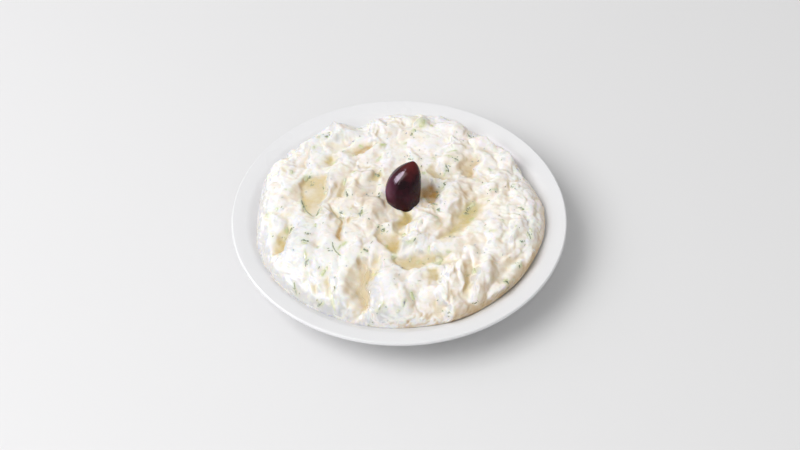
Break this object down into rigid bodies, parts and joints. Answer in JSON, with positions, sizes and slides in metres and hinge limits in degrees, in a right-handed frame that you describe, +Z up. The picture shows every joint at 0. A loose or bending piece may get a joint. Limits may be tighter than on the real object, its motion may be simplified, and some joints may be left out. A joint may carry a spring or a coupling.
{
  "type": "plate of tzatziki dip",
  "caption": "Thick white yogurt and cucumber dip heaped with a lumpy, spooned surface on a round white plate, with a dark pointed olive pressed into its middle.",
  "frame": {"origin": "centre of the plate's foot ring, on the surface the plate stands on", "axes": "+Z up out of the dip, +X to the right and +Y away from a diner who sees the olive's tip lean away"},
  "size_m": [0.16, 0.16, 0.0487],
  "materials": {
    "glaze": "smooth white glaze",
    "dip": "moist thick yogurt, soft sheen",
    "olive_skin": "glossy brined olive skin",
    "oil": "thin pools of olive oil",
    "cucumber": "moist grated cucumber",
    "herb": "chopped dark green herb and peel"
  },
  "bodies": {
    "root": {"plate": "glaze", "tzatziki": "dip", "olive": "olive_skin"}
  },
  "joints": []
}
